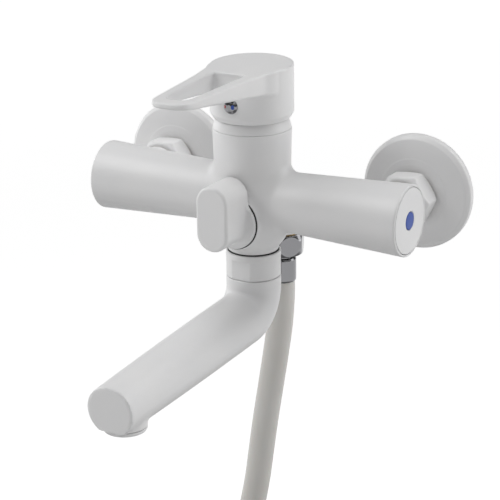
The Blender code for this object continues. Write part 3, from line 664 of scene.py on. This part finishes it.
def add_hose_fittings():
    shower = (0, SHOWER_Y, HOSE_EXIT.z)
    phase = math.radians(-38)
    hex_nut("hose_nut_chrome", "hose_nut", (0, SHOWER_Y), 8.4, phase, HOSE_NUT_LIFT, 0.6)
    profile = ferrule_profile(SLEEVE_LENGTH, 1)
    turned("hose_ferrule_sleeve", profile, "chrome", "mixer", ("hose_ferrule",), "Z", shower, bored=True)
    left = COIL_CENTRE.x - COIL_RADIUS
    tail = (left, TAIL_Y, TAIL_BOTTOM)
    profile = ferrule_profile(SLEEVE_LENGTH, -1)
    sleeve = turned("hose_end_sleeve", profile, "chrome", "mixer", ("hose_end_ferrule",), "Z", tail,
                    bored=True)
    nut = hex_nut("hose_end_nut_chrome", "hose_end_nut", (left, TAIL_Y), 10.4, 0.0, 0.0, 0.7)
    tie = add_tie()


def add_tie():
    """A hook and loop strap round the coil's turns, its free end lapped over on the front."""
    turn = math.radians(150)
    u = Vector((math.cos(turn), 0, math.sin(turn)))
    v = AXES["Y"]
    w = u.cross(v)
    centre = COIL_CENTRE + u * COIL_RADIUS
    reach = HOSE_D / 2 + 0.9
    width = COIL_PITCH + HOSE_D / 2 + 1.2
    corner = 5.0
    thick = 1.0
    half = 5.6
    outline = []
    for su, sv, start in ((1, 1, 0), (-1, 1, 90), (-1, -1, 180), (1, -1, 270)):
        for k in range(9):
            angle = math.radians(start + 90 * k / 8)
            outline.append(Vector((su * (reach - corner) + corner * math.cos(angle),
                                   sv * (width - corner) + corner * math.sin(angle))))
    form = bmesh.new()
    for offset, share in ((0.0, (0, len(outline))), (1.15, (20, len(outline) + 4))):
        rings = []
        for k in range(*share):
            here = outline[k % len(outline)]
            ahead = outline[(k + 1) % len(outline)] - outline[(k - 1) % len(outline)]
            side = Vector((ahead.y, -ahead.x)).normalized()
            ring = []
            for lift, along in ((0, -half), (thick, -half + 0.3), (thick, half - 0.3), (0, half)):
                flat = here + side * (offset + lift)
                ring.append(centre + u * flat.x + v * flat.y + w * along)
            rings.append(ring)
        skin(form, rings, closed=share == (0, len(outline)))
    return emit("hose_strap", form, "strap", "mixer", ("hose_tie",), sharp=50)


# The cast body

TUBE_MID_R = 16.0
TUBE_END_R = 19.0
TUBE_MID_X = 20.0
BOWL_Z = -11.0  # where the barrel starts to round in, on its way down
FOOT_Z = -26.76  # where that bowl gives way to a short cone
FLARE_Z = 5.0  # where the barrel starts to widen, on its way up
BOSS_R = 15.0
SHOWER_R = 12.5
SHOWER_NECK_R = 11.5
SHOWER_NECK_Z = -13.5
INLET_R = 11.8
PAST = 3.0  # how far a skin runs on past the place where open_rim cuts it


def barrel_radius(z):
    """A bowl that rounds in downwards to a short cone, and a slight flare upwards."""
    bowl = 4.0 + 16.3 * np.sqrt(np.clip(1 - (np.minimum(z - BOWL_Z, 0) / 20.0) ** 2, 0, 1))
    foot = 14.03 + 0.19 * (z - FOOT_Z)
    flare = 0.8 * np.clip((z - FLARE_Z) / (BARREL_TOP - FLARE_Z), 0, 1)
    return np.where(z < FOOT_Z, foot, bowl) + flare


def body_distance(points):
    x, y, z = points.T
    along = np.abs(x)
    slope = (TUBE_END_R - TUBE_MID_R) / (TUBE_HALF - TUBE_MID_X)
    tube = np.hypot(y - BODY_Y, z) - TUBE_MID_R - slope * np.maximum(along - TUBE_MID_X, 0)
    tube = np.maximum(tube, along - TUBE_HALF - PAST)
    barrel = np.hypot(x, y - BODY_Y) - barrel_radius(z)
    barrel = np.maximum(np.maximum(barrel, z - BARREL_TOP - PAST), -32 - z)
    found = rounded_union(tube, barrel, 5.5)
    boss = np.hypot(x, z - DIVERTER_Z) - BOSS_R - 0.05 * (y - DIVERTER_Y)
    boss = np.maximum(np.maximum(boss, y + 55), DIVERTER_Y - PAST - y)
    found = rounded_union(found, boss, 4.0)
    height = z - SHOWER_NECK_Z
    dome = np.hypot(np.hypot(x, y - SHOWER_Y) / SHOWER_R, np.maximum(height, 0) / SHOWER_NECK_R)
    dome = np.maximum(dome * SHOWER_R - SHOWER_R, -29 - z)
    neck = np.maximum(np.hypot(x, height) - SHOWER_NECK_R, np.maximum(y - SHOWER_Y, BODY_Y - y))
    found = rounded_union(found, rounded_union(dome, neck, 2.0), 5.0)
    inlet = np.hypot(along - INLET_HALF, z) - INLET_R
    inlet = np.maximum(inlet, np.maximum(y + 22.5, BODY_Y - y))
    return rounded_union(found, inlet, 2.0)


def add_body():
    form = implicit(body_distance, (-98, -78, -34), (98, -4, 44), 1.1)
    axis_point = (0, BODY_Y, 0)
    for side in (-1, 1):
        end = TUBE_HALF
        rim = [(18.97, end - 0.7), (18.88, end - 0.36), (18.7, end - 0.14), (18.45, end - 0.02), (18.3, end),
               (17.95, end), (17.8, end - 0.08), (17.72, end - 0.25), (17.7, end - 2.8), (11, end - 2.8),
               (11, 30)]
        open_rim(form, "X", axis_point, side * (end - 0.7), side, [(r, side * x) for r, x in rim])
        inlet = [(INLET_R, -25.9), (11.75, -25.6), (11.55, -25.3), (11.25, -25.2), (9.8, -25.2),
                 (9.8, -38.6)]
        open_rim(form, "Y", (side * INLET_HALF, BODY_Y, 0), -25.9, 1, inlet)
    top = BARREL_TOP
    rim = [(21.08, top - 0.6), (21.0, top - 0.3), (20.85, top - 0.1), (20.6, top), (19.1, top),
           (18.9, top - 0.2), (18.9, 30), (17.9, 30), (17.9, 5)]
    open_rim(form, "Z", axis_point, top - 0.6, 1, rim)
    low = near("mixer_body", 2, 0)
    rim = [(13.68, low + 0.5), (13.6, low + 0.2), (13.4, low + 0.04), (13.2, low), (11.5, low), (11.5, -20.1)]
    open_rim(form, "Z", axis_point, low + 0.5, -1, rim)
    face = DIVERTER_Y
    rim = [(15.02, face + 0.6), (14.97, face + 0.3), (14.82, face + 0.1), (14.6, face), (10.6, face),
           (10.6, face + 10), (7.6, face + 10), (7.6, face + 28.5)]
    open_rim(form, "Y", (0, 0, DIVERTER_Z), face + 0.6, -1, rim)
    rim = [(SHOWER_R, -26.7), (12.4, -27.0), (12.2, -27.22), (11.9, -27.3), (10.5, -27.3), (10.5, -26),
           (8.9, -26), (8.9, -14)]
    open_rim(form, "Z", (0, SHOWER_Y, 0), -26.7, -1, rim)
    emit("mixer_casting", form, "satin_white", "mixer", ("mixer_body",))


def add_end_caps():
    face = TUBE_HALF + 0.1
    at = (0, BODY_Y, 0)
    for name, side, dot, finish in (("left", -1, "hot", "index_red"), ("right", 1, "cold", "index_blue")):
        cap = [(0, face - 1.2), (4.95, face - 1.2), (5.0, face - 0.15, 0.1), (5.2, face, 0.1),
               (17.25, face, 0.3), (17.4, face - 0.6, 0.1), (17.4, face - 2.4), (10.6, face - 2.4),
               (10.6, face - 8, 0.4), (0, face - 8)]
        cap = [(p[0], side * p[1], *p[2:]) for p in cap]
        turned(f"end_cap_{name}_disc", cap, "satin_white", "mixer", (f"end_cap_{name}",), "X", at, 128)
        disc = [(0, face - 0.9), (4.65, face - 0.9), (4.65, face + 0.05, 0.25), (0, face + 0.2)]
        disc = [(p[0], side * p[1], *p[2:]) for p in disc]
        turned(f"index_{dot}_disc", disc, finish, "mixer", (f"index_dot_{dot}",), "X", at, 64)


# The wall connections

FLANGE_R = 31.6
UNION_FLATS = 27.2
THREAD_SIDES = 72


def union_nut_distance(side, low, high):
    """The white hexagon nut, one corner pointing a little over +X."""
    phase = math.radians(30 + 3)
    slant = math.cos(math.radians(40)), math.sin(math.radians(40))

    def distance(points):
        x = points[:, 0] - side * INLET_HALF
        y = points[:, 1]
        z = points[:, 2]
        radius = np.hypot(x, z)
        front = (low - y) * slant[0] + (radius - UNION_FLATS / 2 + 0.5) * slant[1]
        back = (y - high) * slant[0] + (radius - UNION_FLATS / 2 + 0.5) * slant[1]
        body = rounded_cut(rounded_cut(hexagon(x, z, UNION_FLATS, phase, 0.9), front, 0.5), back, 0.5)
        body = rounded_cut(rounded_cut(body, low - y, 0.5), y - high, 0.5)
        return rounded_cut(body, np.where(y < -17.3, 9.9, 11.5) - radius, 0.2)

    return distance


def threaded_pipe(form, at, radius, bore, low, high, pitch, depth):
    """A pipe along Y with a real helical thread outside, plain at its ends."""
    u, v = across("Y")
    rings = []
    count = round((high - low) / pitch * 8)
    for k in range(count + 1):
        y = low + (high - low) * k / count
        fade = min(1.0, (high - 0.6 - y) / 1.2, (y - low) / 1.5)
        ring = []
        for i in range(THREAD_SIDES):
            phase = (y / pitch - i / THREAD_SIDES) % 1.0
            groove = depth * (1 - abs(2 * phase - 1)) * 1.15
            r = radius - min(groove, depth) * max(fade, 0.0)
            if y > high - 0.8:
                r = min(r, radius - depth)
            turn = 2 * math.pi * i / THREAD_SIDES
            ring.append(Vector(at) + u * (r * math.cos(turn)) + v * (r * math.sin(turn)) + AXES["Y"] * y)
        rings.append(ring)
    rings += [circle(at, "Y", bore, y, THREAD_SIDES) for y in (high, -2.8)]
    skin(form, rings)


def add_wall_connections():
    for name, side in (("left", -1), ("right", 1)):
        x = side * INLET_HALF
        lift = near(f"wall_flange_{name}", 2, 1) - FLANGE_R
        flange = [
            (30.0, -0.02),
            (31.2, -0.02, 0.2),
            (FLANGE_R, -1.2, 1.5),
            (31.5, -4.2, 1.8),
            (29.2, -6.2, 2.0),
            (24.6, -7.4, 14.0),
            (19.6, -8.5, 1.5),
            (18.8, -8.8, 1.0),
            (16.0, -9.2, 2.0),
            (11.6, -9.5, 0.2),
            (11.6, -7.6, 0.2),
            (18.0, -7.0, 3.0),
            (28.6, -4.6, 2.0),
        ]
        turned(f"wall_flange_{name}_dish", flange, "satin_white", "mixer", (f"wall_flange_{name}",), "Y",
               (x, 0, lift), 160, True)
        low = near("union_nut_left", 1, 0)
        high = near("union_nut_left", 1, 1)
        distance = union_nut_distance(side, low, high)
        form = implicit(distance, (x - 17, low - 1, -17), (x + 17, high + 1, 17), 0.9, 1)
        emit(f"union_nut_{name}_hex", form, "satin_white", "mixer", (f"union_nut_{name}",))
        end = near(f"eccentric_{name}", 1, 1)
        form = bmesh.new()
        threaded_pipe(form, (x, 0, 8.0), 10.4, 7.4, -4.0, end, 1.814, 1.0)
        front = [(7.4, -2.2), (7.4, -13.0), (10.4, -13.0, 0.4), (11.1, -12.2, 0.3), (11.1, -1.0)]
        skin(form, [circle((x, 0, 0), "Y", r, y, THREAD_SIDES) for r, y in eased(front)])
        emit(f"eccentric_{name}_thread", form, "brass", "mixer", (f"eccentric_{name}",))


# The lever

CAP_R = 22.3
CAP_RIM_R = 20.4
LEVER_RIM_Z = near("lever", 2, 0)
BUTTON_R = 4.05
BUTTON_DOME = 1.75
LEVER_OUTLINE = [(0, -134.6), (5.0, -134.2), (8.9, -132.2), (11.1, -128.0), (12.2, -119.0), (13.7, -101.0),
                 (15.3, -84.0), (17.6, -69.0), (18.2, -58.0), (0, -54.0)]
LOOP_OUTLINE = [(0, -126.2), (3.2, -125.8), (5.6, -123.2), (6.6, -118.0), (7.2, -110.0), (8.0, -98.0),
                (8.7, -86.0), (9.2, -77.0), (8.9, -73.6), (7.0, -72.6), (0, -72.5)]


def mirrored(half):
    return half + [(-x, y) for x, y in reversed(half[1:-1])]


def closed_outline(half, steps=8):
    return smooth_curve([(x, y, 0) for x, y in mirrored(half)], steps, closed=True)


def lever_top(y):
    return 72.85 + 0.036 * (y - BODY_Y)


def lever_distance():
    grip = outline_field(closed_outline(LEVER_OUTLINE))
    loop = outline_field(closed_outline(LOOP_OUTLINE))

    def distance(points):
        x, y, z = points.T
        top = z - lever_top(y)
        radius = np.hypot(x, y - BODY_Y)
        cap = np.maximum(radius - CAP_R, (radius - CAP_R) * 0.84 + (LEVER_RIM_Z + 3.0 - z) * 0.53)
        cap = np.maximum(cap, LEVER_RIM_Z - 4.0 - z)
        under = 60.5 + 0.09 * np.maximum(0.0, -65.0 - y) - z
        handle = rounded_cut(grip(x, y), under, 1.3)
        found = rounded_union(cap, handle, 2.5)
        found = rounded_cut(found, top, 1.0)
        return rounded_cut(found, -loop(x, y), 1.1)

    return distance


def add_lever():
    form = implicit(lever_distance(), (-24, -135, 39), (24, -26, 76), 1.0, 1)
    rim = LEVER_RIM_Z
    profile = [(CAP_RIM_R + 0.2, rim + 0.35), (CAP_RIM_R + 0.05, rim + 0.1), (CAP_RIM_R - 0.15, rim),
               (19.85, rim), (19.7, rim + 0.2), (19.7, 61), (7.6, 61), (7.6, 50)]
    open_rim(form, "Z", (0, BODY_Y, 0), rim + 0.35, -1, profile)
    emit("lever_loop_handle", form, "satin_white", "lever_arm", ("lever",))

    at = (0, BODY_Y, 54.3)
    front = near("temperature_button", 1, 0) - BODY_Y
    dome = [(0, front + 4.6), (BUTTON_R, front + 4.6), (BUTTON_R, front + BUTTON_DOME, 0.3),
            (3.1, front + 0.5, 1.2), (1.2, front + 0.02, 0.8), (0, front)]
    turned("lever_index_button", dome, "chrome", "lever_arm", ("temperature_button",), "Y", at, 64)
    for name, middle, width, height, finish in (("hot", -2.7, 0.8, 1.1, "index_red"),
                                                ("cold", 2.2, 1.2, 1.35, "index_blue")):
        form = bmesh.new()
        rings = []
        for share in (1.0, 0.8, 0.0):
            ring = []
            for i in range(24 if share else 1):
                turn = 2 * math.pi * i / 24
                x = middle + width * share * math.cos(turn)
                z = height * share * math.sin(turn)
                lift = -0.1 if share == 1.0 else 0.16
                dip = BUTTON_DOME * (math.hypot(x, z) / BUTTON_R) ** 3.2
                ring.append(Vector(at) + Vector((x, front + dip - lift, z)))
            rings.append(ring)
        skin(form, rings)
        emit(f"lever_index_{name}", form, finish, "lever_arm")


def add_trim_ring():
    low = near("trim_ring", 2, 0)
    dome = []
    for k in range(13):
        turn = math.radians(5.5 + 22.0 * k / 12)
        dome.append((20.85 * math.cos(turn), 36.9 + 20.85 * math.sin(turn) * 0.9))
    profile = [(17.3, low), (20.55, low, 0.2), *dome, (17.4, 45.5, 0.2), (16.5, 43.8), (16.5, 40.5)]
    turned("trim_ring_dome", profile, "satin_white", "mixer", ("trim_ring",), "Z", (0, BODY_Y, 0), 128, True)


# The diverter


def knob_distance(points):
    x, y, z = points.T
    front = near("diverter_knob", 1, 0)
    back = near("diverter_knob", 1, 1) + 0.25
    pill = np.hypot(x, np.maximum(np.abs(z - DIVERTER_Z - 7.4) - 8.3, 0)) - 9.35
    grip = rounded_cut(rounded_cut(pill, front - y, 1.7), y - back, 0.3)
    radius = np.hypot(x, z - DIVERTER_Z)
    disc = rounded_cut(radius - 14.2, back - 2.0 - y - 0.28 * np.maximum(12.5 - radius, 0), 0.7)
    disc = rounded_cut(disc, y - back, 0.25)
    return rounded_union(grip, disc, 1.6)


def add_diverter():
    front = near("diverter_knob", 1, 0)
    back = near("diverter_knob", 1, 1)
    form = implicit(knob_distance, (-17, front - 2, -26), (17, back + 2, 19), 0.9, 1)
    emit("diverter_grip", form, "satin_white", "diverter", ("diverter_knob",))


def add_painted_shade_rings():
    """Painted shade: dark rings set into the narrow gaps between the knob and its boss, and between the body
    and the spout's nut, where there is only shade.
    """
    face = DIVERTER_Y
    # painted shade: a black ring inside the gap behind the diverter knob, standing in for the shade there
    seat_and_painted_shade = [(10.8, face - 0.12), (14.75, face - 0.12), (14.75, face - 0.5), (10.8, face - 0.5)]
    turned("diverter_gap_painted_shade", seat_and_painted_shade, "rubber", "mixer", (), "Y", (0, 0, DIVERTER_Z), 96, True)
    top = near("spout_nut", 2, 1)
    # painted shade: a black ring in the gap between the body and the top of the spout's nut, standing in for
    # the shade there
    seat_and_painted_shade = [(12.5, top + 0.1), (14.0, top + 0.1), (14.0, top + 0.75), (12.5, top + 0.75)]
    turned("spout_nut_gap_painted_shade", seat_and_painted_shade, "rubber", "mixer", (), "Z", (0, BODY_Y, 0), 96, True)


# The spout

ELBOW_RADIUS = 16.0
ARM_CORNER_Z = -64.6
ARM_SLOPE = 0.046
NECK_R = 14.9
TIP_R = 13.2
ARM_END = near("spout", 1, 0)
AERATOR_Y = -178.2
AERATOR_Z = near("aerator_housing", 2, 0)


def spout_distance(points):
    x, y, z = points.T
    lean = math.atan(ARM_SLOPE)
    turn = math.pi / 2 - lean
    start = ARM_CORNER_Z + ELBOW_RADIUS * math.tan(turn / 2)
    across_neck = y - BODY_Y
    radial = np.hypot(across_neck + ELBOW_RADIUS, z - start)
    angle = np.arctan2(start - z, across_neck + ELBOW_RADIUS)
    ahead = -across_neck * math.cos(lean) - (z - ARM_CORNER_Z) * math.sin(lean)
    above = (z - ARM_CORNER_Z) * math.cos(lean) - across_neck * math.sin(lean)
    plane = np.where(z > start, across_neck, np.where(angle < turn, radial - ELBOW_RADIUS, above))
    reach = (BODY_Y - ARM_END) / math.cos(lean)
    share = np.clip((ahead - ELBOW_RADIUS) / (reach - ELBOW_RADIUS), 0, 1)
    arm = np.hypot(x, plane) - NECK_R + (NECK_R - TIP_R) * share**2
    arm = rounded_cut(arm, ahead - reach + 0.6, 1.0)
    arm = np.maximum(arm, z + 40)
    boss = np.hypot(x, y - AERATOR_Y) - 11.2
    boss = np.maximum(boss, np.maximum(z + 74, AERATOR_Z - z))
    return rounded_union(arm, boss, 1.0)


def add_spout():
    form = implicit(spout_distance, (-17, ARM_END - 3, AERATOR_Z - 2), (17, -32, -37), 1.1)
    top = near("spout_nut", 2, 0) - 0.3
    neck = [(14.9, top - 0.6), (14.84, top - 0.3), (14.66, top - 0.1), (14.4, top), (8.9, top), (8.9, -40.9),
            (8.0, -40.9), (8.0, -38.6), (8.9, -38.6)]
    for groove in (-34.0, -26.4):
        neck += [(8.9, groove - 1.3), (7.6, groove - 1.3), (7.6, groove + 1.3), (8.9, groove + 1.3)]
    neck += [(8.9, -21.7), (8.4, -21.2), (6.0, -21.2), (6.0, -48)]
    open_rim(form, "Z", (0, BODY_Y, 0), top - 0.6, 1, neck)
    seat_and_painted_shade = AERATOR_Z + 2.3
    mouth = [(11.2, seat_and_painted_shade + 0.4), (11.15, seat_and_painted_shade + 0.15), (10.9, seat_and_painted_shade), (9.8, seat_and_painted_shade), (9.7, seat_and_painted_shade + 0.2),
             (9.7, -76)]
    open_rim(form, "Z", (0, AERATOR_Y, 0), seat_and_painted_shade + 0.4, -1, mouth)
    emit("spout_arm_casting", form, "satin_white", "spout_arm", ("spout",))

    at = (0, AERATOR_Y, 0)
    low = AERATOR_Z
    shell = [(8.5, low + 0.25, 0.2), (8.9, low, 0.2), (10.5, low, 0.5), (11.1, low + 0.9, 0.4),
             (11.1, low + 2.0, 0.2), (9.4, low + 2.0), (9.4, -77.4), (8.4, -77.4)]
    turned("aerator_shell", shell, "satin_white", "spout_arm", ("aerator_housing",), "Z", at, 96, True)
    add_aerator_insert(low + 0.9)


def add_aerator_insert(low):
    """The outlet grid: a hexagonal field of round holes through a disc."""
    pitch = 2.3
    holes = []
    for row in range(-3, 4):
        for column in range(-3, 4):
            x = pitch * (column + row / 2)
            y = pitch * row * math.sqrt(3) / 2
            if math.hypot(x, y) < 7.0:
                holes.append((x, y + AERATOR_Y))

    def distance(points):
        x, y, z = points.T
        disc = np.hypot(x, y - AERATOR_Y) - 8.0
        disc = rounded_cut(np.maximum(disc, z + 80.5), low - z, 0.3)
        hole = np.full(x.shape, np.inf)
        for hx, hy in holes:
            hole = np.minimum(hole, np.hypot(x - hx, y - hy) - 0.78)
        return rounded_cut(disc, -hole, 0.12)

    form = implicit(distance, (-9, AERATOR_Y - 9, low - 1), (9, AERATOR_Y + 9, -79.5), 0.4)
    emit("aerator_grid", form, "grey_plastic", "spout_arm", ("aerator_insert",))


def add_spout_nut():
    """A turned nut with a spanner flat in front and behind, over its lower part only."""
    low = near("spout_nut", 2, 0)
    high = near("spout_nut", 2, 1) + 0.35
    shoulder = -32.9
    flat = 13.75
    profile = [(12.7, high), (14.7, high, 0.1), (14.95, high - 0.3, 0.2), (14.95, shoulder),
               (14.8, shoulder - 0.15), (14.8, low + 0.3, 0.2), (14.5, low, 0.2), (9.3, low),
               (9.3, -41.0), (12.7, -41.0)]
    sides = 192
    rings = []
    for radius, height in eased(profile):
        ring = []
        for i in range(sides):
            turn = 2 * math.pi * (i + 0.5) / sides
            x = radius * math.cos(turn)
            y = radius * math.sin(turn)
            if height < shoulder - 0.1:
                y = max(-flat, min(flat, y))
            ring.append(Vector((x, BODY_Y + y, height)))
        rings.append(ring)
    form = bmesh.new()
    skin(form, rings, closed=True)
    emit("spout_nut_ring", form, "satin_white", "mixer", ("spout_nut",), sharp=20)


# The stage

FLOOR_DROP = 1.0
FLOOR_GREY = 0.42
FLOOR_GLOW = ((1.0, 1.6, 0.9), (2.4, 6.0, 0.08))  # from, to in metres, strength reached
WORLD_LIGHT = 0.12
LAMP_DISTANCE = 1.9
LAMP_SIZE = 1.2
SOFTBOXES = [
    # name, azimuth from the camera to the right, elevation, power in watts
    ("key_left", 280, 45, 18.0),
    ("fill_right", 95, 45, 12.0),
    ("low_right", 90, 12, 8.0),
    ("low_left", 230, 10, 8.0),
    ("overhead", 0, 89, 8.0),
]


def add_stage():
    """A pale floor well under the hanging hose. It glows further out, as a lit studio sweep does."""
    form = bmesh.new()
    bmesh.ops.create_grid(form, x_segments=1, y_segments=1, size=20.0)
    mesh = bpy.data.meshes.new("floor")
    form.to_mesh(mesh)
    form.free()
    floor = bpy.data.objects.new("floor", mesh)
    floor.location = (0, 0, -FLOOR_DROP)
    bpy.context.scene.collection.objects.link(floor)
    made = Nodes("floor_white", (FLOOR_GREY, FLOOR_GREY, FLOOR_GREY), 0.9)
    made.shader.inputs["Specular IOR Level"].default_value = 0.0
    length = made.add("ShaderNodeVectorMath", operation="LENGTH")
    made.link(made.place, length.inputs[0])
    total = made.add("ShaderNodeMath", operation="ADD")
    for socket, (start, end, strength) in zip(total.inputs, FLOOR_GLOW):
        glow = made.add("ShaderNodeMapRange", interpolation_type="SMOOTHSTEP")
        glow.inputs["From Min"].default_value = start
        glow.inputs["From Max"].default_value = end
        glow.inputs["To Max"].default_value = strength
        made.link(length.outputs["Value"], glow.inputs["Value"])
        made.link(glow.outputs["Result"], socket)
    made.shader.inputs["Emission Color"].default_value = (1, 1, 1, 1)
    made.link(total.outputs["Value"], made.shader.inputs["Emission Strength"])
    mesh.materials.append(made.material)


def add_lights():
    world = bpy.data.worlds.new("studio")
    world.use_nodes = True
    world.node_tree.nodes["Background"].inputs["Color"].default_value = (1, 1, 1, 1)
    world.node_tree.nodes["Background"].inputs["Strength"].default_value = WORLD_LIGHT
    bpy.context.scene.world = world
    for name, azimuth, elevation, power in SOFTBOXES:
        light = bpy.data.lights.new(name, "AREA")
        light.size = LAMP_SIZE
        light.energy = power
        lamp = bpy.data.objects.new(name, light)
        a = VIEW_AZIMUTH + math.radians(azimuth)
        e = math.radians(elevation)
        away = Vector((math.sin(a) * math.cos(e), -math.cos(a) * math.cos(e), math.sin(e)))
        lamp.location = away * LAMP_DISTANCE
        aim = Vector((0, BODY_Y * MM, 0)) - lamp.location
        lamp.rotation_euler = aim.to_track_quat("-Z", "Y").to_euler()
        bpy.context.scene.collection.objects.link(lamp)
    bpy.context.scene.view_settings.view_transform = "Standard"


add_camera()
finish_cad_nodes()
hose_piece, hose_length = add_hose()
add_hose_fittings()
add_body()
add_end_caps()
add_wall_connections()
add_lever()
add_trim_ring()
add_diverter()
add_painted_shade_rings()
add_spout()
add_spout_nut()
add_stage()
add_lights()
